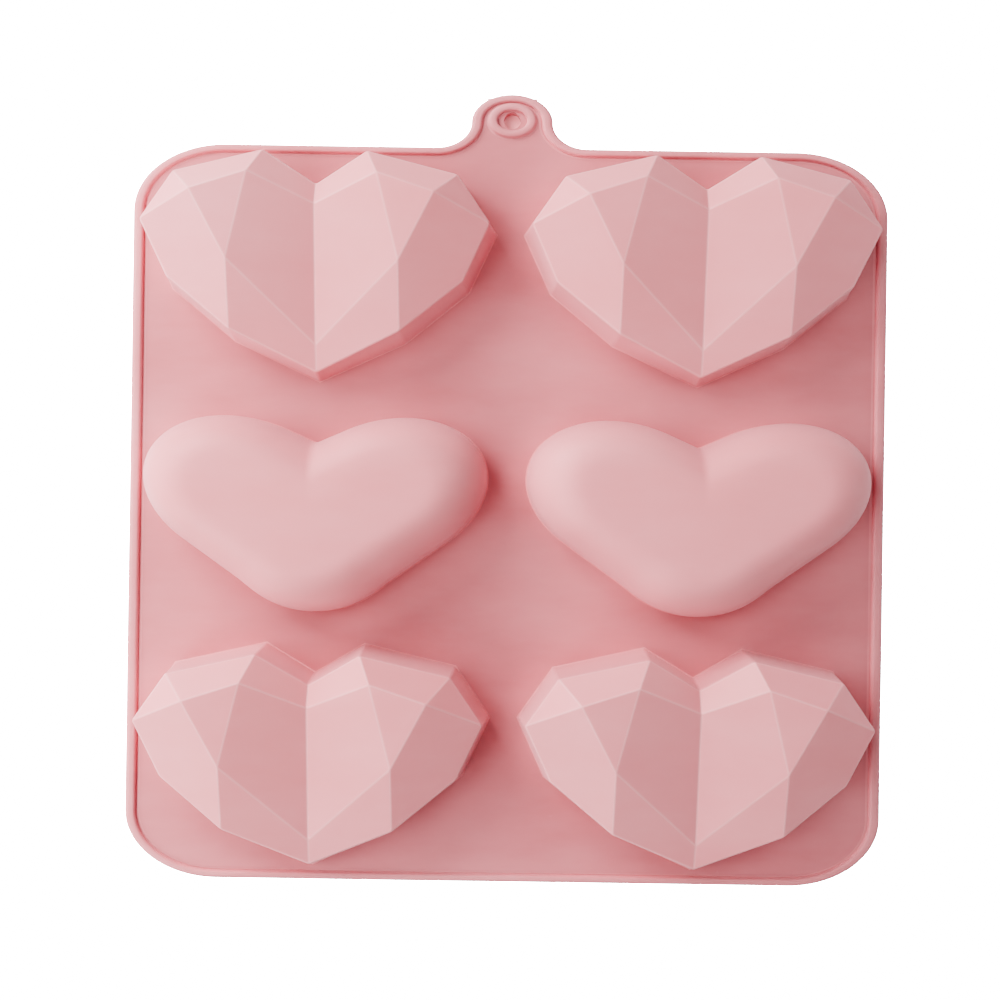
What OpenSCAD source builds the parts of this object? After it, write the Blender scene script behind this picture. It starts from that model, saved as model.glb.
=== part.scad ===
// Resin casting mould: one silicone sheet with six heart-shaped cavities.
// It lies mouths down, so the closed cups stand up along +Z and the flat
// casting face is the plane Z = 0. +X is to the right and +Y points at the
// hanging tab. The origin is the middle of the sheet on the casting face.

/* [Sheet] */
// Width of the sheet, side to side
sheet_w = 180; // [178:1:200]
// Height of the sheet without its tab
sheet_h = 175; // [173:1:200]
// Thickness of the sheet between the cups
sheet_t = 2; // [1.5:0.1:3]
// Corner radius of the sheet, measured along X
corner_rx = 22; // [12:1:26]
// Corner radius of the sheet, measured along Y
corner_ry = 16; // [10:1:20]

/* [Rim bead] */
// Width of the bead round the edge
bead_w = 2; // [1.4:0.1:2.4]
// Height that the bead stands above the sheet
bead_rise = 0.9; // [0.4:0.1:1.5]

/* [Hanging tab] */
// Width of the tab at its widest
tab_w = 19.4; // [18:0.2:24]
// Distance from the sheet's top edge to the tab's tip
tab_reach = 12.8; // [12:0.2:16]
// Distance from the sheet's top edge up to the tab's widest place
tab_shoulder = 6.2; // [5:0.1:7]
// Width of each fillet between the tab and the top edge
root_fillet = 8.4; // [4:0.2:12]
// Diameter of the round hanging hole
hole_d = 4; // [3:0.1:4.4]

/* [Eyelet collar] */
// Width of the collar
collar_w = 11.4; // [10:0.2:13]
// Height of the collar along Y
collar_h = 8.2; // [7:0.1:8.6]
// Width of the collar's opening
eyelet_w = 7.2; // [6:0.1:8]
// Height of the collar's opening along Y
eyelet_h = 4.8; // [4.6:0.1:5.4]
// Distance from the tab's widest place up to the collar's centre
collar_lift = 0.4; // [0:0.1:0.8]
// Height that the collar stands above the tab
collar_rise = 0.9; // [0.4:0.1:1.5]

/* [Cups] */
// Distance between the two columns of cups
column_pitch = 90; // [88:0.5:92]
// Distance between the rows of cups
row_pitch = 57.5; // [56:0.5:58]
// Thickness of a cup's side wall
wall_t = 1.6; // [1.2:0.1:2.4]
// Thickness of a cup's crown
crown_t = 1.8; // [1.2:0.1:2.6]
// Height of a smooth cup
smooth_h = 19; // [16:0.5:22]
// Depth of a smooth cup's rounded shoulder
smooth_round = 13; // [9:0.5:14]
// Width of that shoulder, as a share of the lobe's half length
smooth_edge = 0.55; // [0.35:0.05:0.65]
// Outward slope of a faceted cup's wall, from its crown to the sheet
draft = 1.2; // [0.8:0.1:1.6]

/* [Hidden] */

silicone = [0.88, 0.68, 0.69];
bead_top = sheet_t + bead_rise;
collar_y = sheet_h / 2 + tab_shoulder + collar_lift;
neck_y = sheet_h / 2 - bead_w;
column_x = column_pitch / 2;
arc_steps = 16;
// Amount that a cutting solid runs past the face that it cuts
over = 1;

// The right half of a faceted heart, seen from above. Each point is
// [x, y, z], with Z up from the casting face and the middle line at X = 0.
notch = [0, 17.8, 13.2];
peak = [11.9, 24.9, 15.7];
shoulder = [32.6, 20.1, 14.6];
tip = [40.2, 9.1, 14.4];
flank_high = [34.2, -3.9, 12.6];
flank_low = [19.6, -15.8, 13.5];
point = [0, -24.9, 8.1];
valley_high = [0, 12.7, 15.7];
table_peak = [14.6, 18.8, 20.5];
table_shoulder = [27.5, 14.6, 20.6];
apex = [19.5, -0.5, 18.6];
valley_low = [0, -18.7, 10.3];

function flip(p) = [-p[0], p[1], p[2]];

// The crown's outline, anticlockwise seen from above, starting at the notch.
girdle = [notch, flip(peak), flip(shoulder), flip(tip), flip(flank_high),
          flip(flank_low), point, flank_low, flank_high, tip, shoulder, peak];
// The corners of the facets inside that outline.
inside = [valley_high, flip(table_peak), flip(table_shoulder), flip(apex),
          valley_low, apex, table_shoulder, table_peak];
girdle_n = len(girdle);

// The facets of the crown, seen from above. Numbers below 12 are corners of
// the girdle and the rest are the inside corners, in their order.
facets = [[0, 1, 13, 12], [1, 2, 14, 13], [2, 3, 14], [3, 4, 5, 15, 14],
          [5, 6, 16, 15], [12, 13, 15, 16], [13, 14, 15],
          [11, 0, 12, 19], [10, 11, 19, 18], [9, 10, 18],
          [7, 8, 9, 18, 17], [6, 7, 17, 16], [19, 12, 16, 17],
          [18, 19, 17]];

function unit2(v) = v / norm(v);
function left_of(v) = [-v[1], v[0]];

// A corner of an anticlockwise outline, moved out by d with square edges.
function mitre(before, corner, after, d) =
    let (u = unit2([corner[0] - before[0], corner[1] - before[1]]),
         v = unit2([after[0] - corner[0], after[1] - corner[1]]),
         out = -left_of(u) - left_of(v))
    [corner[0], corner[1]] + out * d / (1 + u * v);

function grown(outline, d) =
    let (n = len(outline))
    [for (i = [0:n - 1])
        mitre(outline[(i + n - 1) % n], outline[i], outline[(i + 1) % n], d)];

function at_height(outline, z) = [for (p = outline) [p[0], p[1], z]];

// The side faces between ring number k and the one above it.
function band(n, k) =
    [for (i = [0:n - 1])
        [k * n + i, (k + 1) * n + i, (k + 1) * n + (i + 1) % n, k * n + (i + 1) % n]];

function ring_of(n) = [for (i = [0:n - 1]) i];
function shift(face, d) = [for (i = face) i + d];
function turned(f) = [for (i = [len(f) - 1:-1:0]) f[i]];

// The crown's facets, when its girdle starts at point number d.
function crown_faces(d) = [for (f = facets) turned(shift(f, d))];

// Points along a quarter of an ellipse, from angle a to angle a + turn.
function arc(centre, rx, ry, a, turn) =
    [for (i = [0:arc_steps])
        let (t = a + turn * i / arc_steps)
        centre + [rx * cos(t), ry * sin(t)]];

// The sheet's outline with its tab, anticlockwise from the tab's tip.
function rim_outline() =
    let (top = sheet_h / 2,
         side = sheet_w / 2,
         half_tab = tab_w / 2,
         tip_ry = tab_reach - tab_shoulder,
         root_x = half_tab + root_fillet,
         cx = side - corner_rx,
         cy = top - corner_ry)
    concat(
        arc([0, top + tab_shoulder], half_tab, tip_ry, 90, 90),
        arc([-root_x, top + tab_shoulder], root_fillet, tab_shoulder, 0, -90),
        arc([-cx, cy], corner_rx, corner_ry, 90, 90),
        arc([-cx, -cy], corner_rx, corner_ry, 180, 90),
        arc([cx, -cy], corner_rx, corner_ry, 270, 90),
        arc([cx, cy], corner_rx, corner_ry, 0, 90),
        arc([root_x, top + tab_shoulder], root_fillet, tab_shoulder, 270, -90),
        arc([0, top + tab_shoulder], half_tab, tip_ry, 0, 90));

module inner_outline() {
    offset(delta = -bead_w) polygon(rim_outline());
}

// Puts a cup at its place. column is -1 or 1, and row is -1, 0 or 1.
module at_cup(column, row) {
    translate([column * column_x, row * row_pitch, 0]) children();
}

// ---- Faceted cups ----

module faceted_outline() {
    polygon(grown(girdle, draft));
}

module faceted_outside() {
    foot = grown(girdle, draft);
    n = girdle_n;
    polyhedron(
        concat(at_height(foot, 0), at_height(foot, sheet_t), girdle, inside),
        concat([ring_of(n)], band(n, 0), band(n, 1), crown_faces(2 * n)),
        convexity = 6);
}

// Everything below the crown when it is lowered by its thickness.
module lowered_crown() {
    n = girdle_n;
    translate([0, 0, -crown_t]) polyhedron(
        concat(at_height(girdle, -over), girdle, inside),
        concat([ring_of(n)], band(n, 0), crown_faces(n)),
        convexity = 6);
}

// The space between the side walls. Its sides pass the girdle and go on
// to twice that height, so that the lowered crown alone closes the cavity.
module between_walls() {
    n = girdle_n;
    foot = at_height(grown(girdle, draft - wall_t), sheet_t);
    waist = grown(girdle, -wall_t);
    head = [for (i = [0:n - 1])
        2 * [waist[i][0], waist[i][1], girdle[i][2]] - foot[i]];
    polyhedron(
        concat(at_height(foot, -over), foot, head),
        concat([ring_of(n)], band(n, 0), band(n, 1), [turned(shift(ring_of(n), 2 * n))]),
        convexity = 6);
}

module faceted_cup(column, row) {
    color(silicone) at_cup(column, row) difference() {
        faceted_outside();
        intersection() {
            lowered_crown();
            between_walls();
        }
    }
}

// ---- Smooth cups ----

// Half of a smooth heart is one long tilted lobe and the round point,
// stretched over as by a skin. Both are ellipses: [x, y], [half lengths].
lobe_at = [16.4, 4.8];
lobe_half = [24.4, 16.8];
lobe_tilt = 16.5;
point_at = [0, -4.7];
point_half = [21.1, 18.5];
mean_half = 20;

// An upright disc of radius 1 unit with a rounded upper edge. soft_x and
// soft_z are the width and depth of the rounding.
module soft_disc(tall, soft_x, soft_z, base) {
    rotate_extrude($fn = 32) polygon(concat(
        [[0, base], [1, base]],
        [for (a = [0:15:90])
            [1 - soft_x * (1 - cos(a)), tall - soft_z * (1 - sin(a))]],
        [[0, tall]]));
}

// Half of a smooth cup's solid, drawn in from the outside by inset. The
// rounding's share of the lobe shrinks with it.
module smooth_half(inset, tall, base) {
    lobe = lobe_half - [inset, inset];
    tail = point_half - [inset, inset];
    soft_z = smooth_round - inset;
    soft_x = smooth_edge - inset / mean_half;
    hull() {
        translate(lobe_at) rotate(lobe_tilt) scale([lobe[0], lobe[1], 1])
            soft_disc(tall, soft_x, soft_z, base);
        translate(point_at) scale([tail[0], tail[1], 1])
            soft_disc(tall, soft_x, soft_z, base);
    }
}

module smooth_solid(inset, tall, base) {
    smooth_half(inset, tall, base);
    mirror([1, 0, 0]) smooth_half(inset, tall, base);
}

module smooth_half_outline() {
    hull() {
        translate(lobe_at) rotate(lobe_tilt) scale(lobe_half) circle(1, $fn = 32);
        translate(point_at) scale(point_half) circle(1, $fn = 32);
    }
}

module smooth_outline() {
    smooth_half_outline();
    mirror([1, 0]) smooth_half_outline();
}

module smooth_cup(column) {
    color(silicone) at_cup(column, 0) difference() {
        smooth_solid(0, smooth_h, 0);
        smooth_solid(wall_t, smooth_h - crown_t, -over);
    }
}

// ---- Sheet, bead, tab and collar ----

// One side of the line where the tab joins the sheet.
module past_neck(side) {
    reach = 2 * sheet_h;
    translate([-reach, side > 0 ? neck_y : neck_y - 2 * reach])
        square([2 * reach, 2 * reach]);
}

module web_sheet() {
    color(silicone) linear_extrude(sheet_t) difference() {
        intersection() {
            inner_outline();
            past_neck(-1);
        }
        for (column = [-1, 1]) {
            for (row = [-1, 1]) at_cup(column, row) faceted_outline();
            at_cup(column, 0) smooth_outline();
        }
    }
}

module rim_bead() {
    color(silicone) linear_extrude(bead_top) difference() {
        polygon(rim_outline());
        inner_outline();
    }
}

module hanging_tab() {
    color(silicone) difference() {
        linear_extrude(sheet_t) intersection() {
            inner_outline();
            past_neck(1);
        }
        translate([0, collar_y, -over])
            cylinder(d = hole_d, h = sheet_t + 2 * over, $fn = 64);
    }
}

module oval(across, along) {
    polygon([for (a = [0:7.5:359]) [across / 2 * cos(a), along / 2 * sin(a)]]);
}

module eyelet_collar() {
    color(silicone) translate([0, collar_y, sheet_t])
        linear_extrude(collar_rise) difference() {
            oval(collar_w, collar_h);
            oval(eyelet_w, eyelet_h);
        }
}

module faceted_heart_cup_top_left() { faceted_cup(-1, 1); }
module faceted_heart_cup_top_right() { faceted_cup(1, 1); }
module faceted_heart_cup_bottom_left() { faceted_cup(-1, -1); }
module faceted_heart_cup_bottom_right() { faceted_cup(1, -1); }
module smooth_heart_cup_left() { smooth_cup(-1); }
module smooth_heart_cup_right() { smooth_cup(1); }

web_sheet();
rim_bead();
hanging_tab();
eyelet_collar();
faceted_heart_cup_top_left();
faceted_heart_cup_top_right();
faceted_heart_cup_bottom_left();
faceted_heart_cup_bottom_right();
smooth_heart_cup_left();
smooth_heart_cup_right();
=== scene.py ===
# The looks of a pink silicone casting mould with six heart-shaped cavities.
# It lies mouths down on a pale floor and is seen from straight above.
# Lengths are millimetres. MM turns them into metres where Blender takes them.
import math

import bmesh
import bpy
import numpy as np
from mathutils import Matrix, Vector, noise
from mathutils.geometry import delaunay_2d_cdt


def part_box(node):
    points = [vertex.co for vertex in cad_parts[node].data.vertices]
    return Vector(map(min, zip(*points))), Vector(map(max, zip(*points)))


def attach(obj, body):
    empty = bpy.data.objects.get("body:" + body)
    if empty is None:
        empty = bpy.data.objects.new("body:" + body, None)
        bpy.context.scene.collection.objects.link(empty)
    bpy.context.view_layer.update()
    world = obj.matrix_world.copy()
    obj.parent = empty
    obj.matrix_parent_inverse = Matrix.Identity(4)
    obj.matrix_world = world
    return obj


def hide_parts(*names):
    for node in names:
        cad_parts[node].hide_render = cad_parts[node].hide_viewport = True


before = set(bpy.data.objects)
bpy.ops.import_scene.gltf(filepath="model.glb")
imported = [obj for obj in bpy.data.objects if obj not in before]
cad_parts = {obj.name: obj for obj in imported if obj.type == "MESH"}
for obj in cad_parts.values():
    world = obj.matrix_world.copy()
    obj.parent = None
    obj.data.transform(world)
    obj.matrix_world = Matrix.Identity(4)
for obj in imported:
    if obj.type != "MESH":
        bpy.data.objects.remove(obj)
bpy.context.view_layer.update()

MM = 0.001

# ---- Shapes of the cups, as the CAD has them ----

# The right half of a faceted heart's crown: x, y, z from the casting face.
NOTCH = (0, 17.8, 13.2)
PEAK = (11.9, 24.9, 15.7)
SHOULDER = (32.6, 20.1, 14.6)
TIP = (40.2, 9.1, 14.4)
FLANK_HIGH = (34.2, -3.9, 12.6)
FLANK_LOW = (19.6, -15.8, 13.5)
POINT = (0, -24.9, 8.1)
VALLEY_HIGH = (0, 12.7, 15.7)
TABLE_PEAK = (14.6, 18.8, 20.5)
TABLE_SHOULDER = (27.5, 14.6, 20.6)
APEX = (19.5, -0.5, 18.6)
VALLEY_LOW = (0, -18.7, 10.3)
# How far the foot of the wall lies outside the girdle.
DRAFT = 1.2

# The right lobe and the round point of a smooth heart: both are ellipses.
LOBE_AT, LOBE_HALF, LOBE_TILT = (16.4, 4.8), (24.4, 16.8), 16.5
POINT_AT, POINT_HALF = (0, -4.7), (21.1, 18.5)
# A length over MEAN_HALF is roughly the same length in units of the heart's gauge.
MEAN_HALF = 20
# The rounded shoulder takes this share of the gauge, and reaches this far down.
SOFT_WIDE, SOFT_DEEP = 0.55, 13

# ---- Shapes shared by the pieces ----

WALL_T = 1.6
CROWN_T = 1.8
BEAD_W = 2.0
GROOVE_W = 0.7
CORNER_RX, CORNER_RY = 22, 16
TAB_W, TAB_SHOULDER, ROOT_FILLET = 19.4, 6.2, 8.4
COLLAR_LIFT = 0.4
HOLE_R = 2.0

# Insets from the outline are this much longer along X and shorter along Y, so that
# the bead is wider at the sides than at the top and bottom, as in the photo.
BEAD_SPREAD = np.array([1.25, 0.88])
OUTER_ROUND, INNER_ROUND, CREASE = 1.0, 0.55, 0.1
# The bead's lower outer edge: inset from the outline, and height.
BEAD_UNDER = [(0.25, 0.0), (0.07, 0.08), (0.0, 0.3)]
# The crease at its inner foot: distance from the bead, and share of its depth.
CREASE_PROFILE = [(0.0, 1 / 2), (0.05, 1.0), (0.16, 1.0), (0.26, 1 / 3), (0.4, 0.0)]

# The ring round the eyelet: its width along X and Y, how far out its foot reaches,
# how far in its flat top begins, and how deep it is sunk in the tab.
COLLAR_RING_W = np.array([2.1, 1.7])
COLLAR_FOOT, COLLAR_SHOULDER, COLLAR_SUNK = 0.55, 0.75, 0.3
# Its outside from the foot up: distance past its outline, and height.
COLLAR_OUTSIDE = [(0.3, 0.05), (0.1, 0.2), (0.0, 0.42), (-0.12, 0.64), (-0.36, 0.82)]
# Where its flat top ends, and its inside downward: share of its width, and height.
COLLAR_TOP_END = 0.62
COLLAR_INSIDE = [(0.84, 0.84), (0.96, 0.66), (1.0, 0.4), (1.04, 0.0), (1.0, -COLLAR_SUNK)]

# A cup's foot: the fillet on the sheet, how far the foot reaches past it, and how
# deep it is sunk. SKIN_GAP lifts thin edges just clear of the sheet.
FOOT_FILLET, FLANGE, FOOT_SUNK = 0.28, 0.04, 0.2
SKIN_GAP = 0.015
# The lip of a cavity: how far it flares, and height.
LIP = [(0.35, 0.0), (0.08, 0.1), (0.0, 0.4)]

# The unevenness of the soft sheet: its size, its lengths along X and Y, which slice
# of the noise it is, and the heights between which it fades in.
RIPPLE = 0.16
RIPPLE_X, RIPPLE_Y, RIPPLE_SLICE = 38, 30, 3.7
RIPPLE_FROM, RIPPLE_FADE = 1.0, 0.8

# Spacing of points on straight edges and inside the two flat plates.
STRAIGHT_STEP, SHEET_GRID, TAB_GRID = 3.0, 4.0, 1.6
# How far the grid's points stay from an outline, in grid steps.
GRID_MARGIN = 0.4
TINY = 1e-6


def mm_box(node):
    """Lowest and highest corner of a CAD node, in millimetres."""
    low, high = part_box(node)
    return np.array(low) / MM, np.array(high) / MM


web_high = mm_box("web_sheet")[1]
bead_high = mm_box("rim_bead")[1]
SHEET_T = web_high[2]
BEAD_TOP = bead_high[2]
NECK_Y = web_high[1]
TOP_Y = NECK_Y + BEAD_W


# ---- Building meshes ----


class Skin:
    """Points and faces of one closed piece, gathered ring by ring."""

    def __init__(self, at=(0.0, 0.0)):
        self.at = np.array(at)
        self.points = []
        self.faces = []
        self.inside = []
        self.weights = {}

    def ring(self, xy, z, inside=0.0):
        """Adds a ring of points. z is one height or one for each point."""
        heights = np.broadcast_to(z, (len(xy),))
        first = len(self.points)
        self.points += [(p[0], p[1], h) for p, h in zip(xy, heights)]
        self.inside += [inside] * len(xy)
        return list(range(first, len(self.points)))

    def bridge(self, a, b, weight=0.0):
        """Quads between two rings. weight rounds the edges that join them."""
        n = len(a)
        for i in range(n):
            j = (i + 1) % n
            self.faces.append((a[i], a[j], b[j], b[i]))
            if weight:
                self.soften(a[i], b[i], weight)

    def loft(self, rings):
        """Quads between each ring and the next."""
        for a, b in zip(rings, rings[1:]):
            self.bridge(a, b)

    def close(self, ring):
        """One face through all of the given points."""
        self.faces.append(tuple(ring))

    def soften(self, i, j, weight):
        """Marks the edge between two points for rounding."""
        self.weights[frozenset((i, j))] = weight

    def mesh(self, name):
        """A mesh in metres, rippled as the whole sheet is."""
        points = [(x * MM, y * MM, rippled(x, y, z) * MM) for x, y, z in self.points]
        data = bpy.data.meshes.new(name)
        data.from_pydata(points, [], self.faces)
        mark = data.attributes.new("inside", "FLOAT", "POINT")
        mark.data.foreach_set("value", self.inside)
        bm = bmesh.new()
        bm.from_mesh(data)
        layer = bm.edges.layers.float.new("bevel_weight_edge")
        for e in bm.edges:
            e[layer] = self.weights.get(frozenset(v.index for v in e.verts), 0.0)
        bmesh.ops.recalc_face_normals(bm, faces=bm.faces)
        bm.to_mesh(data)
        bm.free()
        return data


def rippled(x, y, z):
    """z moved by the faint unevenness of a soft sheet, with its underside left flat."""
    share = min(max((z - RIPPLE_FROM) / RIPPLE_FADE, 0.0), 1.0)
    if share == 0.0:
        return z
    place = Vector((x / RIPPLE_X, y / RIPPLE_Y, RIPPLE_SLICE))
    return z + share * RIPPLE * noise.noise(place)


def piece(skin, name, node, material, smooth_angle=40):
    """Makes the skin into an object that stands for a CAD node.
    Edges that turn by more than smooth_angle degrees stay sharp."""
    data = skin.mesh(name)
    data.materials.append(material)
    data.shade_smooth()
    data.set_sharp_from_angle(angle=math.radians(smooth_angle))
    obj = bpy.data.objects.new(name, data)
    bpy.context.scene.collection.objects.link(obj)
    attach(obj, "root")
    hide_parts(node)
    return obj


def grown(ring, d):
    """A closed anticlockwise outline moved out by d, with square corners."""
    ring = np.asarray(ring, float)
    back = ring - np.roll(ring, 1, 0)
    ahead = np.roll(ring, -1, 0) - ring
    back /= np.linalg.norm(back, axis=1)[:, None]
    ahead /= np.linalg.norm(ahead, axis=1)[:, None]
    out = np.stack([back[:, 1] + ahead[:, 1], -back[:, 0] - ahead[:, 0]], 1)
    return ring + out * (d / (1 + (back * ahead).sum(1)))[:, None]


def arc(cx, cy, rx, ry, start, turn, steps=26):
    """Points of an elliptical arc, from start on through turn degrees."""
    angles = np.radians(start + turn * np.arange(steps + 1) / steps)
    return np.stack([cx + rx * np.cos(angles), cy + ry * np.sin(angles)], 1)


def spaced(ring, longest):
    """The closed outline with extra points on its long straights."""
    made = []
    for p, q in zip(ring, np.roll(ring, -1, 0)):
        length = np.linalg.norm(q - p)
        if length < TINY:
            continue
        count = max(1, math.ceil(length / longest))
        made += [p + (q - p) * i / count for i in range(count)]
    return np.array(made)


def holds(ring, points):
    """Which points are inside the outline."""
    x, y = points[:, 0][:, None], points[:, 1][:, None]
    x0, y0 = ring[:, 0], ring[:, 1]
    x1, y1 = np.roll(x0, -1), np.roll(y0, -1)
    crosses = (y0 > y) != (y1 > y)
    rise = np.where(y1 == y0, 1.0, y1 - y0)
    return (crosses & (x < (x1 - x0) * (y - y0) / rise + x0)).sum(1) % 2 == 1


# ---- The outline of the sheet and its tab ----


def rim_outline():
    """The outer edge of the bead, anticlockwise from the tip of the tab."""
    side = bead_high[0]
    top = TOP_Y
    tab_y = top + TAB_SHOULDER
    tip_ry = bead_high[1] - tab_y
    half_tab = TAB_W / 2
    root_x = half_tab + ROOT_FILLET
    cx, cy = side - CORNER_RX, top - CORNER_RY
    parts = [
        arc(0, tab_y, half_tab, tip_ry, 90, 90),
        arc(-root_x, tab_y, ROOT_FILLET, TAB_SHOULDER, 0, -90),
        arc(-cx, cy, CORNER_RX, CORNER_RY, 90, 90),
        arc(-cx, -cy, CORNER_RX, CORNER_RY, 180, 90),
        arc(cx, -cy, CORNER_RX, CORNER_RY, 270, 90),
        arc(cx, cy, CORNER_RX, CORNER_RY, 0, 90),
        arc(root_x, tab_y, ROOT_FILLET, TAB_SHOULDER, 270, -90),
        arc(0, tab_y, half_tab, tip_ry, 0, 90),
    ]
    return spaced(np.concatenate(parts), STRAIGHT_STEP)


def set_in(outline, inset):
    """The outline moved inward, a little further along X than along Y."""
    return outline + (grown(outline, -inset) - outline) * BEAD_SPREAD


def split_at_neck(ring):
    """The outline in two closed parts: below the neck line and above it."""
    below, above = [], []
    for p, q in zip(ring, np.roll(ring, -1, 0)):
        (above if p[1] > NECK_Y else below).append(p)
        if (p[1] > NECK_Y) != (q[1] > NECK_Y):
            share = (NECK_Y - p[1]) / (q[1] - p[1])
            cut = p + (q - p) * share
            below.append(cut)
            above.append(cut)
    return np.array(below), np.array(above)


# ---- Flat webs ----


def grid_points(outer, holes, grid):
    """Points of a grid that lie well inside the plate."""
    low, high = outer.min(0), outer.max(0)
    xs = np.arange(low[0] + grid / 2, high[0], grid)
    ys = np.arange(low[1] + grid / 2, high[1], grid)
    fill = np.stack(np.meshgrid(xs, ys), -1).reshape(-1, 2)
    keep = holds(grown(outer, -grid * GRID_MARGIN), fill)
    for hole in holes:
        keep &= ~holds(grown(hole, grid * GRID_MARGIN), fill)
    return fill[keep]


def ring_slices(rings):
    """Where each ring's points lie in the list of all of them."""
    ends = np.cumsum([len(r) for r in rings])
    return [slice(end - len(r), end) for r, end in zip(rings, ends)]


def triangles(outer, holes, grid):
    """The plate's points, the outlines' first, and the triangles that fill it."""
    rings = [outer] + holes
    points = np.concatenate(rings + [grid_points(outer, holes, grid)])
    edges = []
    for part in ring_slices(rings):
        ids = list(range(part.start, part.stop))
        edges += zip(ids, ids[1:] + ids[:1])
    flat, _, tris, *_ = delaunay_2d_cdt([Vector(p) for p in points], edges, [], 0, TINY)
    flat = np.array([tuple(v) for v in flat])
    middle = np.array([flat[list(t)].mean(0) for t in tris])
    wanted = holds(outer, middle)
    for hole in holes:
        wanted &= ~holds(hole, middle)
    return flat, [tri for tri, use in zip(tris, wanted) if use]


def flat_web(outer, holes, grid):
    """A plate between the casting face and the sheet's upper face."""
    flat, tris = triangles(outer, holes, grid)
    skin = Skin()
    upper = skin.ring(flat, SHEET_T)
    lower = skin.ring(flat, 0.0)
    for tri in tris:
        skin.close([upper[i] for i in tri])
        skin.close([lower[i] for i in reversed(tri)])
    for part in ring_slices([outer] + holes):
        skin.bridge(upper[part], lower[part])
    return skin


# ---- Rim bead ----


def quarter(steps=6):
    """A quarter circle: 1 - sin and 1 - cos of the angles from 0 to 90 degrees."""
    for i in range(steps + 1):
        a = math.radians(90 * i / steps)
        yield 1 - math.sin(a), 1 - math.cos(a)


def bead_profile():
    """The bead's section: inset from the outline, and height."""
    profile = list(BEAD_UNDER)
    for less_sin, less_cos in quarter():
        profile.append((OUTER_ROUND * less_cos, BEAD_TOP - OUTER_ROUND * less_sin))
    for less_sin, less_cos in quarter():
        profile.append((BEAD_W - INNER_ROUND * less_sin, BEAD_TOP - INNER_ROUND * less_cos))
    for across, share in CREASE_PROFILE:
        profile.append((BEAD_W + across, SHEET_T - CREASE * share))
    inner = BEAD_W + GROOVE_W
    return profile + [(inner, SHEET_T), (inner, 0.0)]


def bead_skin(outline):
    """The thick rounded edge, with the crease at its inner foot."""
    skin = Skin()
    rings = [skin.ring(set_in(outline, inset), z) for inset, z in bead_profile()]
    skin.loft(rings + rings[:1])
    return skin


# ---- Hanging tab and eyelet ----


def oval(centre, half_x, half_y, steps=72):
    """Points of an ellipse, anticlockwise."""
    angles = np.radians(np.arange(steps) * 360 / steps)
    return np.stack([centre[0] + half_x * np.cos(angles),
                     centre[1] + half_y * np.sin(angles)], 1)


def collar_profile(outer, rise):
    """The ring's section: half lengths of each oval, and height above the sheet."""
    yield outer + COLLAR_FOOT, SKIN_GAP
    for grow, z in COLLAR_OUTSIDE:
        yield outer + grow, z
    yield outer - COLLAR_SHOULDER, rise
    yield outer - COLLAR_RING_W * COLLAR_TOP_END, rise
    for share, z in COLLAR_INSIDE:
        yield outer - COLLAR_RING_W * share, z
    yield outer, -COLLAR_SUNK


def collar_skin(centre):
    """The raised ring round the hole, domed, with a soft foot."""
    low, high = mm_box("eyelet_collar")
    outer = (high - low)[:2] / 2
    skin = Skin()
    rings = [skin.ring(oval(centre, *half), SHEET_T + z)
             for half, z in collar_profile(outer, high[2] - SHEET_T)]
    skin.loft(rings + rings[:1])
    return skin


# ---- Faceted cups ----


def flip(p):
    return (-p[0], p[1], p[2])


GIRDLE = np.array([
    NOTCH, flip(PEAK), flip(SHOULDER), flip(TIP), flip(FLANK_HIGH), flip(FLANK_LOW),
    POINT, FLANK_LOW, FLANK_HIGH, TIP, SHOULDER, PEAK])
INNER = np.array([
    VALLEY_HIGH, flip(TABLE_PEAK), flip(TABLE_SHOULDER), flip(APEX),
    VALLEY_LOW, APEX, TABLE_SHOULDER, TABLE_PEAK])
# Numbers below 12 are corners of the girdle, the rest are inner corners.
FACETS = [(0, 1, 13, 12), (1, 2, 14, 13), (2, 3, 14), (3, 4, 5, 15, 14),
          (5, 6, 16, 15), (12, 13, 15, 16), (13, 14, 15),
          (11, 0, 12, 19), (10, 11, 19, 18), (9, 10, 18),
          (7, 8, 9, 18, 17), (6, 7, 17, 16), (19, 12, 16, 17), (18, 19, 17)]
# How much of BEVEL_W rounds the ridges, the girdle and the upright edges.
RIDGE_SOFT, GIRDLE_SOFT, WALL_SOFT = 0.5, 0.9, 1.0
BEVEL_W = 0.5
# The cavity's girdle lies this much higher than CROWN_T under the outer one.
CAVITY_RAISE = 0.5


def cup_place(node, outline):
    """Where the cup's own origin lies, from the node's box and its outline."""
    low, high = mm_box(node)
    return (low[:2] + high[:2]) / 2 - (outline.min(0) + outline.max(0)) / 2


def foot_profile():
    """A cup's outside below its wall: how far out each ring lies, its height, and
    how much of the cavity's gloss it has."""
    yield 0.0, 0.0, 0.5
    yield 0.0, SHEET_T - FOOT_SUNK, 0.0
    yield FOOT_FILLET + FLANGE, SHEET_T - FOOT_SUNK, 0.0
    yield FOOT_FILLET + FLANGE, SHEET_T + SKIN_GAP, 0.0
    for less_sin, less_cos in list(quarter())[:-1]:
        yield FOOT_FILLET * less_sin, SHEET_T + SKIN_GAP + FOOT_FILLET * less_cos, 0.0


def faceted_outline():
    """The foot of a faceted cup, round its own origin."""
    return grown(GIRDLE[:, :2], DRAFT)


def crown(skin, girdle_ring, lowered, inside):
    """Closes a girdle ring with the heart's facets, and rounds their edges."""
    inner = skin.ring(INNER[:, :2] + skin.at, INNER[:, 2] - lowered, inside)
    corner = girdle_ring + inner
    for facet in FACETS:
        ids = [corner[i] for i in facet]
        skin.close(ids)
        for i, j in zip(ids, ids[1:] + ids[:1]):
            on_girdle = max(i, j) <= girdle_ring[-1]
            skin.soften(i, j, GIRDLE_SOFT if on_girdle else RIDGE_SOFT)


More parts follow.
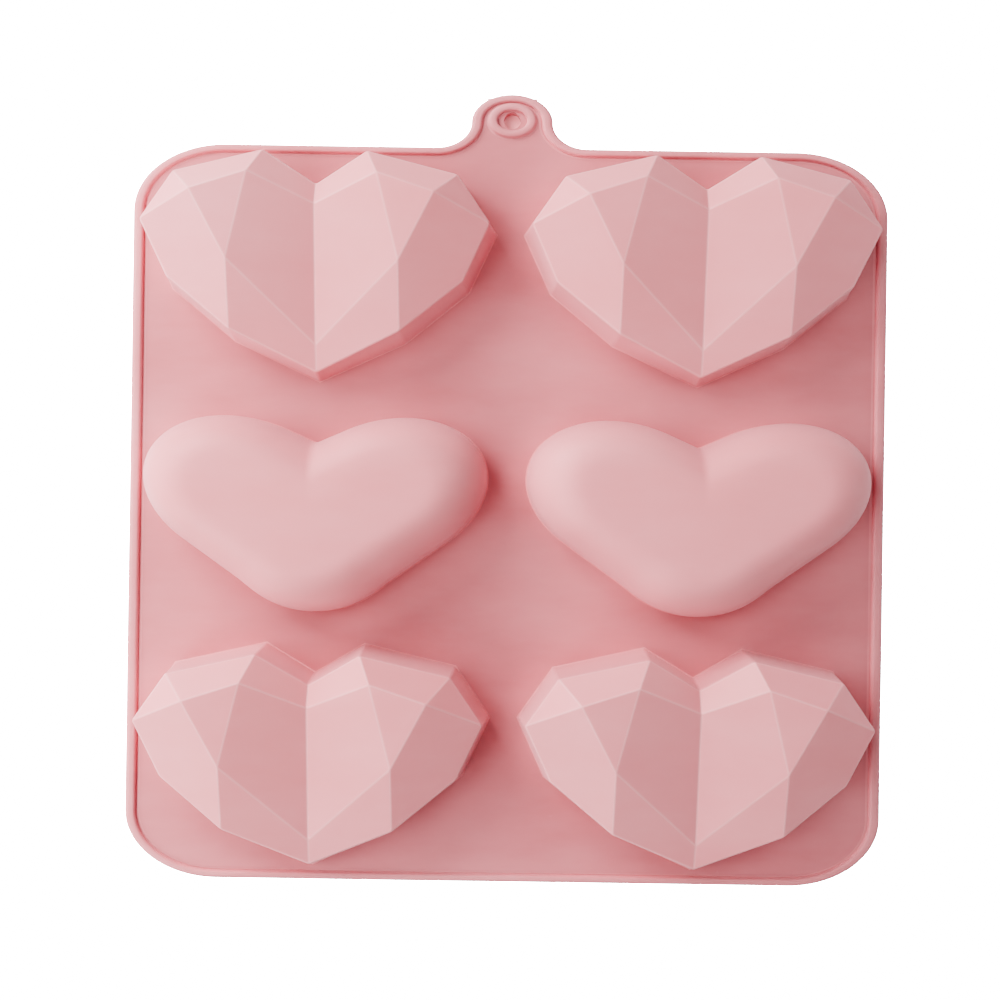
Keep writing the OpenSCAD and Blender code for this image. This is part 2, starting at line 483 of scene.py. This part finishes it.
def faceted_skin(node):
    """One thin-walled faceted cup, open at the casting face."""
    skin = Skin(cup_place(node, faceted_outline()))

    def outline(d):
        return grown(GIRDLE[:, :2], d) + skin.at

    rings = [skin.ring(outline(DRAFT + out), z, gloss) for out, z, gloss in foot_profile()]
    skin.loft(rings)
    girdle = skin.ring(outline(0), GIRDLE[:, 2])
    skin.bridge(rings[-1], girdle, WALL_SOFT)
    crown(skin, girdle, 0.0, 0.0)
    mouth = [skin.ring(outline(DRAFT - WALL_T + flare), z, 1.0) for flare, z in LIP]
    skin.loft([rings[0]] + mouth)
    girdle = skin.ring(outline(-WALL_T), GIRDLE[:, 2] - CROWN_T + CAVITY_RAISE, 1.0)
    skin.bridge(mouth[-1], girdle, WALL_SOFT)
    crown(skin, girdle, CROWN_T, 1.0)
    return skin


# ---- Smooth cups ----

# How much higher the middle of the crown is than its edge.
DOME = 0.2
# The rings of the flat crown, as shares of the shoulder's top ring.
CROWN_SHARES = (0.93, 0.84, 0.7, 0.52, 0.34, 0.17)
SHOULDER_STEPS = 16
# The outline is found between the middle and FARTHEST, by halving the gap.
FARTHEST, HALVINGS = 60.0, 26
GAUGE_ANGLES = np.radians(np.arange(360))
GAUGE_DIRS = np.stack([np.cos(GAUGE_ANGLES), np.sin(GAUGE_ANGLES)], 1)


def ellipse_share(points, centre, half, tilt):
    """For each point and direction, how far out it lies in units of the ellipse."""
    t = math.radians(tilt)
    along = GAUGE_DIRS @ np.array([math.cos(t), math.sin(t)])
    across = GAUGE_DIRS @ np.array([-math.sin(t), math.cos(t)])
    reach = np.sqrt((half[0] * along) ** 2 + (half[1] * across) ** 2)
    return ((points - np.array(centre)) @ GAUGE_DIRS.T) / reach


def half_gauge(points, inset):
    """0 deep inside the right half heart, 1 on its outline, more outside."""
    lobe = ellipse_share(points, LOBE_AT, np.array(LOBE_HALF) - inset, LOBE_TILT)
    tail = ellipse_share(points, POINT_AT, np.array(POINT_HALF) - inset, 0)
    return np.minimum(lobe, tail).max(1)


def heart_gauge(points, inset, blend=0.05):
    """The same for the whole heart, with the crease between its halves softened."""
    right = half_gauge(points, inset)
    left = half_gauge(points * np.array([-1, 1]), inset)
    h = np.clip(0.5 + 0.5 * (left - right) / blend, 0, 1)
    return left * (1 - h) + right * h - blend * h * (1 - h)


def heart_ring(level, inset=0.0, steps=176):
    """The outline at one level of the gauge, anticlockwise."""
    angles = np.radians(90 + np.arange(steps) * 360 / steps)
    rays = np.stack([np.cos(angles), np.sin(angles)], 1)
    near, far = np.zeros(steps), np.full(steps, FARTHEST)
    for _ in range(HALVINGS):
        middle = (near + far) / 2
        out = heart_gauge(rays * middle[:, None], inset) > level
        far = np.where(out, middle, far)
        near = np.where(out, near, middle)
    return rays * near[:, None]


def pillow(skin, tall, inset, inside):
    """The rounded shoulder and flat crown, from the wall up. Returns its first ring."""
    soft = SOFT_WIDE - inset / MEAN_HALF
    deep = SOFT_DEEP - inset - DOME
    rings = []
    for less_sin, less_cos in quarter(SHOULDER_STEPS):
        outline = heart_ring(1 - soft * less_cos, inset) + skin.at
        rings.append(skin.ring(outline, tall - DOME - deep * less_sin, inside))
    top = heart_ring(1 - soft, inset)
    for share in CROWN_SHARES:
        rings.append(skin.ring(top * share + skin.at, tall - DOME * share ** 2, inside))
    skin.loft(rings)
    middle = skin.ring([skin.at], tall, inside)[0]
    last = rings[-1]
    for i, j in zip(last, last[1:] + last[:1]):
        skin.close([i, j, middle])
    return rings[0]


def smooth_skin(node):
    """One thin-walled pillow heart cup, open at the casting face."""
    skin = Skin(cup_place(node, heart_ring(1.0)))
    tall = mm_box(node)[1][2]

    def outline(d, inset):
        return heart_ring(1 + d / MEAN_HALF, inset) + skin.at

    rings = [skin.ring(outline(out, 0.0), z, gloss) for out, z, gloss in foot_profile()]
    rings.append(pillow(skin, tall, 0.0, 0.0))
    skin.loft(rings)
    mouth = [skin.ring(outline(flare, WALL_T), z, 1.0) for flare, z in LIP]
    mouth.append(pillow(skin, tall - CROWN_T, WALL_T, 1.0))
    skin.loft([rings[0]] + mouth)
    return skin


# ---- Silicone ----

# The base, pale and deep pink of each material, fitted to the photo's tones. The sheet's
# pinks, darker than the cups', are partly painted shade, the shade the cups cast on the
# sheet, and partly the cups' thicker, paler crowns.
PINKS = {
    "silicone_sheet": [(0.675, 0.243, 0.266), (0.72, 0.28, 0.305), (0.625, 0.205, 0.225)],
    "silicone_edge": [(0.75, 0.29, 0.315), (0.78, 0.33, 0.355), (0.72, 0.26, 0.28)],
    "silicone_cup": [(0.82, 0.315, 0.34), (0.84, 0.345, 0.37), (0.80, 0.29, 0.31)],
    # The ridge pink, paler than the cups', is a painted highlight on the cups' rounded
    # edges.
    "silicone_painted_highlight": [(0.85, 0.38, 0.40), (0.87, 0.41, 0.43), (0.83, 0.355, 0.375)],
}
# Upright walls, the cavities and the underside have this colour, without the dust flecks. On
# the cups' walls it is set to their shaded tones, partly painted shade. It fades between
# these upward parts of the surface's direction.
FLANK = (0.77, 0.315, 0.345)
FLANK_UNTIL, TOP_FROM = 0.3, 0.75

# Each noise: its scale in object space, its levels of detail, and their roughness.
CLOUD = (26.0, 5.0, 0.6)
SMEAR = (60.0, 5.0, 0.6)
SWELL = (120.0, 3.0, 0.5)
FLECK = (900.0, 2.0, 0.6)
GRAIN = (2600.0, 2.0, 0.6)
# The clouds are stretched into streaks along X.
STREAK_SCALE = (0.5, 1.5, 1.0)
# Levels of a noise at which a colour or roughness is reached.
DEEP_AT, BASE_AT, PALE_AT = 0.3, 0.52, 0.74
DUST_FROM, DUST_FULL, DUST_MOST = 0.70, 0.80, 0.3
SMEAR_LOW, SMEAR_HIGH = 0.3, 0.7
ROUGH_OUTSIDE, ROUGH_CAVITY = (0.46, 0.62), (0.24, 0.36)
# Each relief: strength, and height in millimetres.
GRAIN_RELIEF, SWELL_RELIEF = (0.16, 0.05), (0.25, 0.25)


def node_of(tree, kind, **values):
    made = tree.nodes.new(kind)
    for name, value in values.items():
        setattr(made, name, value)
    return made


def noise_at(tree, coords, kind):
    """A noise of the given scale, detail and roughness."""
    scale, detail, rough = kind
    made = node_of(tree, "ShaderNodeTexNoise")
    made.inputs["Scale"].default_value = scale
    made.inputs["Detail"].default_value = detail
    made.inputs["Roughness"].default_value = rough
    tree.links.new(coords, made.inputs["Vector"])
    return made.outputs["Fac"]


def ramp(tree, value, stops):
    """A colour ramp. Each stop is a place and a colour."""
    made = node_of(tree, "ShaderNodeValToRGB")
    elements = made.color_ramp.elements
    while len(elements) < len(stops):
        elements.new(0.5)
    for element, (place, colour) in zip(elements, stops):
        element.position = place
        element.color = (*colour, 1)
    tree.links.new(value, made.inputs["Fac"])
    return made.outputs["Color"]


def grey(value):
    return (value, value, value)


def mixed(tree, share, a, b):
    """a where share is 0 and b where it is 1. Each of them is a colour or a socket."""
    made = node_of(tree, "ShaderNodeMix", data_type="RGBA")
    for socket, value in ((0, share), (6, a), (7, b)):
        if isinstance(value, tuple):
            made.inputs[socket].default_value = (*value, 1)
        else:
            tree.links.new(value, made.inputs[socket])
    return made.outputs[2]


def upward(tree):
    """1 where the surface looks up, 0 on upright walls and inside the cavities."""
    split = node_of(tree, "ShaderNodeSeparateXYZ")
    tree.links.new(node_of(tree, "ShaderNodeNewGeometry").outputs["Normal"], split.inputs[0])
    return ramp(tree, split.outputs["Z"], [(FLANK_UNTIL, grey(0.0)), (TOP_FROM, grey(1.0))])


def cloudy_colour(tree, coords, base, pale, deep):
    """Clouds and streaks of the three pinks, with dust on what looks up."""
    streaked = node_of(tree, "ShaderNodeMapping")
    streaked.inputs["Scale"].default_value = STREAK_SCALE
    tree.links.new(coords, streaked.inputs["Vector"])
    cloud = noise_at(tree, streaked.outputs[0], CLOUD)
    tint = ramp(tree, cloud, [(DEEP_AT, deep), (BASE_AT, base), (PALE_AT, pale)])
    fleck = noise_at(tree, coords, FLECK)
    dust = ramp(tree, fleck, [(DUST_FROM, grey(0.0)), (DUST_FULL, grey(DUST_MOST))])
    # What doesn't look up gets FLANK, on the cups' walls partly painted shade.
    return mixed(tree, upward(tree), FLANK, mixed(tree, dust, tint, pale))


def smeared_roughness(tree, coords):
    """Matt outside and satin in the cavities, both a little uneven."""
    inside = node_of(tree, "ShaderNodeAttribute", attribute_name="inside").outputs["Fac"]
    smear = noise_at(tree, coords, SMEAR)
    rough = [ramp(tree, smear, [(SMEAR_LOW, grey(least)), (SMEAR_HIGH, grey(most))])
             for least, most in (ROUGH_OUTSIDE, ROUGH_CAVITY)]
    return mixed(tree, inside, *rough)


def relief(tree, height, kind):
    """A bump node of the given strength and height."""
    strength, tall = kind
    made = node_of(tree, "ShaderNodeBump")
    made.inputs["Strength"].default_value = strength
    made.inputs["Distance"].default_value = tall * MM
    tree.links.new(height, made.inputs["Height"])
    return made


def grained_normal(tree, coords):
    """A fine grain on a broad, faint swell."""
    fine = relief(tree, noise_at(tree, coords, GRAIN), GRAIN_RELIEF)
    broad = relief(tree, noise_at(tree, coords, SWELL), SWELL_RELIEF)
    tree.links.new(fine.outputs["Normal"], broad.inputs["Normal"])
    return broad.outputs["Normal"]


def silicone(name, base, pale, deep):
    """Matt pink silicone: cloudy colour, a fine grain, a soft sheen and a satin cavity."""
    material = bpy.data.materials.new(name)
    material.use_nodes = True
    tree = material.node_tree
    shader = tree.nodes["Principled BSDF"]
    coords = node_of(tree, "ShaderNodeTexCoord").outputs["Object"]
    colour = cloudy_colour(tree, coords, base, pale, deep)
    tree.links.new(colour, shader.inputs["Base Color"])
    tree.links.new(smeared_roughness(tree, coords), shader.inputs["Roughness"])
    tree.links.new(grained_normal(tree, coords), shader.inputs["Normal"])
    shader.inputs["IOR"].default_value = 1.41
    shader.inputs["Specular IOR Level"].default_value = 0.5
    shader.inputs["Subsurface Weight"].default_value = 0.12
    shader.inputs["Subsurface Radius"].default_value = (1.0, 0.7, 0.7)
    shader.inputs["Subsurface Scale"].default_value = 1.5 * MM
    shader.inputs["Sheen Weight"].default_value = 0.12
    shader.inputs["Sheen Roughness"].default_value = 0.5
    shader.inputs["Sheen Tint"].default_value = (1.0, 0.92, 0.92, 1.0)
    return material


# ---- The mould ----


def round_edges(obj):
    """Rounds the marked edges. The rounded strips have the piece's second material, a paler
    pink: a painted highlight along every rounded edge.
    """
    bevel = obj.modifiers.new("soft_edges", "BEVEL")
    bevel.limit_method = "WEIGHT"
    bevel.width = BEVEL_W * MM
    bevel.segments = 3
    bevel.material = 1
    bevel.use_clamp_overlap = True
    normals = obj.modifiers.new("flat_facets", "WEIGHTED_NORMAL")
    normals.weight = 100
    normals.keep_sharp = True


FACETED = ["faceted_heart_cup_top_left", "faceted_heart_cup_top_right",
           "faceted_heart_cup_bottom_left", "faceted_heart_cup_bottom_right"]
SMOOTH = ["smooth_heart_cup_left", "smooth_heart_cup_right"]


def cup_holes():
    """The outlines of the sheet's six openings, one round each cup's foot."""
    foot = faceted_outline()
    holes = [spaced(foot + cup_place(node, foot), STRAIGHT_STEP) for node in FACETED]
    foot = heart_ring(1.0)
    return holes + [foot + cup_place(node, foot) for node in SMOOTH]


def make_mould():
    """Every piece. The tab looks as the sheet does."""
    web, edge, cup, edge_highlight = [silicone(name, *tones) for name, tones in PINKS.items()]
    outline = rim_outline()
    sheet_ring, tab_ring = split_at_neck(set_in(outline, BEAD_W + GROOVE_W))
    eyelet = (0.0, TOP_Y + TAB_SHOULDER + COLLAR_LIFT)
    sheet = flat_web(sheet_ring, cup_holes(), SHEET_GRID)
    tab = flat_web(tab_ring, [oval(eyelet, HOLE_R, HOLE_R)], TAB_GRID)
    piece(sheet, "sheet", "web_sheet", web)
    piece(bead_skin(outline), "bead", "rim_bead", edge, 50)
    piece(tab, "tab", "hanging_tab", web)
    piece(collar_skin(eyelet), "collar", "eyelet_collar", edge, 60)
    for node in FACETED:
        obj = piece(faceted_skin(node), node.replace("_cup", ""), node, cup, 180)
        # The second material paints a highlight on the rounded edges.
        obj.data.materials.append(edge_highlight)
        round_edges(obj)
    for node in SMOOTH:
        piece(smooth_skin(node), node.replace("_cup", ""), node, cup, 70)


# ---- Floor, light and camera ----

# The floor lies a little below the casting face. Its glow is for the camera alone.
FLOOR_HALF, FLOOR_DROP = 1600.0, 0.02
FLOOR_COLOUR, FLOOR_GLOW = (0.92, 0.92, 0.92), 20.0
PATCH_HALF = 6.0
# The patch's pink and faint glow are painted shade and pink reflected light inside the
# eyelet's hole.
PATCH_PAINTED_SHADE, PATCH_GLOW = (0.90, 0.45, 0.47), 0.12
WORLD_COLOUR, WORLD_LIGHT = (1.0, 0.94, 0.945), 0.15

# Each light: azimuth (0 is +X and 90 is +Y) and elevation in degrees, and watts.
LIGHTS = {
    "left_upper": (135, 28, 3.5),
    "left_lower": (225, 28, 1.85),
    "left_low": (180, 10, 1.25),
    "overhead": (180, 52, 1.4),
    "right_upper": (45, 52, 0.75),
    "right_low": (0, 10, 0.7),
}
LIGHT_SIZE, LIGHT_DISTANCE = 360, 600

CAMERA_AT, CAMERA_TURN = (-1.5, -3.1, 298.4), 0.86
CAMERA_LENS, CAMERA_SHIFT = 44.7, 0.028


def floor_material(name, colour, glow_strength):
    """Pale floor. Its glow is for the camera alone, and lights nothing."""
    material = bpy.data.materials.new(name)
    material.use_nodes = True
    shader = material.node_tree.nodes["Principled BSDF"]
    shader.inputs["Base Color"].default_value = (*colour, 1)
    shader.inputs["Roughness"].default_value = 0.9
    shader.inputs["Emission Color"].default_value = (*colour, 1)
    tree = material.node_tree
    seen = node_of(tree, "ShaderNodeLightPath").outputs["Is Camera Ray"]
    glow = node_of(tree, "ShaderNodeMath", operation="MULTIPLY")
    glow.inputs[1].default_value = glow_strength
    tree.links.new(seen, glow.inputs[0])
    tree.links.new(glow.outputs[0], shader.inputs["Emission Strength"])
    return material


def make_floor():
    """A pale floor that glows, with a pink patch under the tab's eyelet: painted shade and
    pink reflected light, seen through the hole.
    """
    low, high = mm_box("eyelet_collar")
    eyelet = (low + high) / 2
    xs = [-FLOOR_HALF, eyelet[0] - PATCH_HALF, eyelet[0] + PATCH_HALF, FLOOR_HALF]
    ys = [-FLOOR_HALF, eyelet[1] - PATCH_HALF, eyelet[1] + PATCH_HALF, FLOOR_HALF]
    points = [(x * MM, y * MM, 0) for y in ys for x in xs]
    # There are four points in a row. Each of the nine cells starts at its first point.
    corners = [4 * row + column for row in range(3) for column in range(3)]
    middle_cell = 4
    data = bpy.data.meshes.new("floor")
    data.from_pydata(points, [], [(i, i + 1, i + 5, i + 4) for i in corners])
    data.materials.append(floor_material("floor", FLOOR_COLOUR, FLOOR_GLOW))
    data.materials.append(floor_material("floor_under_tab_painted_shade", PATCH_PAINTED_SHADE, PATCH_GLOW))
    # The middle cell, under the eyelet, gets the painted shade.
    data.polygons[middle_cell].material_index = 1
    obj = bpy.data.objects.new("floor", data)
    obj.location.z = -FLOOR_DROP * MM
    bpy.context.scene.collection.objects.link(obj)


def soft_light(name, azimuth, elevation, watts):
    """A round soft source aimed at the mould."""
    data = bpy.data.lights.new(name, "AREA")
    data.shape = "DISK"
    data.size = LIGHT_SIZE * MM
    data.energy = watts
    a, e = math.radians(azimuth), math.radians(elevation)
    way = Vector((math.cos(a) * math.cos(e), math.sin(a) * math.cos(e), math.sin(e)))
    obj = bpy.data.objects.new(name, data)
    obj.location = way * (LIGHT_DISTANCE * MM)
    obj.rotation_euler = (-way).to_track_quat("-Z", "Y").to_euler()
    bpy.context.scene.collection.objects.link(obj)


def make_light():
    """Wide low light from the left and weak fill. The backdrop is white to the camera."""
    world = bpy.data.worlds.new("studio")
    bpy.context.scene.world = world
    world.use_nodes = True
    tree = world.node_tree
    back = tree.nodes["Background"]
    back.inputs["Color"].default_value = (*WORLD_COLOUR, 1)
    seen = node_of(tree, "ShaderNodeLightPath").outputs["Is Camera Ray"]
    strength = node_of(tree, "ShaderNodeMath", operation="MULTIPLY_ADD")
    strength.inputs[1].default_value = FLOOR_GLOW
    strength.inputs[2].default_value = WORLD_LIGHT
    tree.links.new(seen, strength.inputs[0])
    tree.links.new(strength.outputs[0], back.inputs["Strength"])
    for name, values in LIGHTS.items():
        soft_light(name, *values)


def make_camera():
    """Straight above the sheet, turned a little, as a hand-held camera is."""
    data = bpy.data.cameras.new("camera")
    data.sensor_width = 36
    data.lens = CAMERA_LENS
    data.shift_y = CAMERA_SHIFT
    obj = bpy.data.objects.new("camera", data)
    obj.location = Vector(CAMERA_AT) * MM
    obj.rotation_euler = (0, 0, math.radians(CAMERA_TURN))
    bpy.context.scene.collection.objects.link(obj)
    bpy.context.scene.camera = obj


def set_tones():
    """A contrasty view transform, for tones like the photo's."""
    view = bpy.context.scene.view_settings
    view.view_transform = "AgX"
    view.look = "AgX - High Contrast"


make_camera()
make_light()
make_floor()
make_mould()
set_tones()
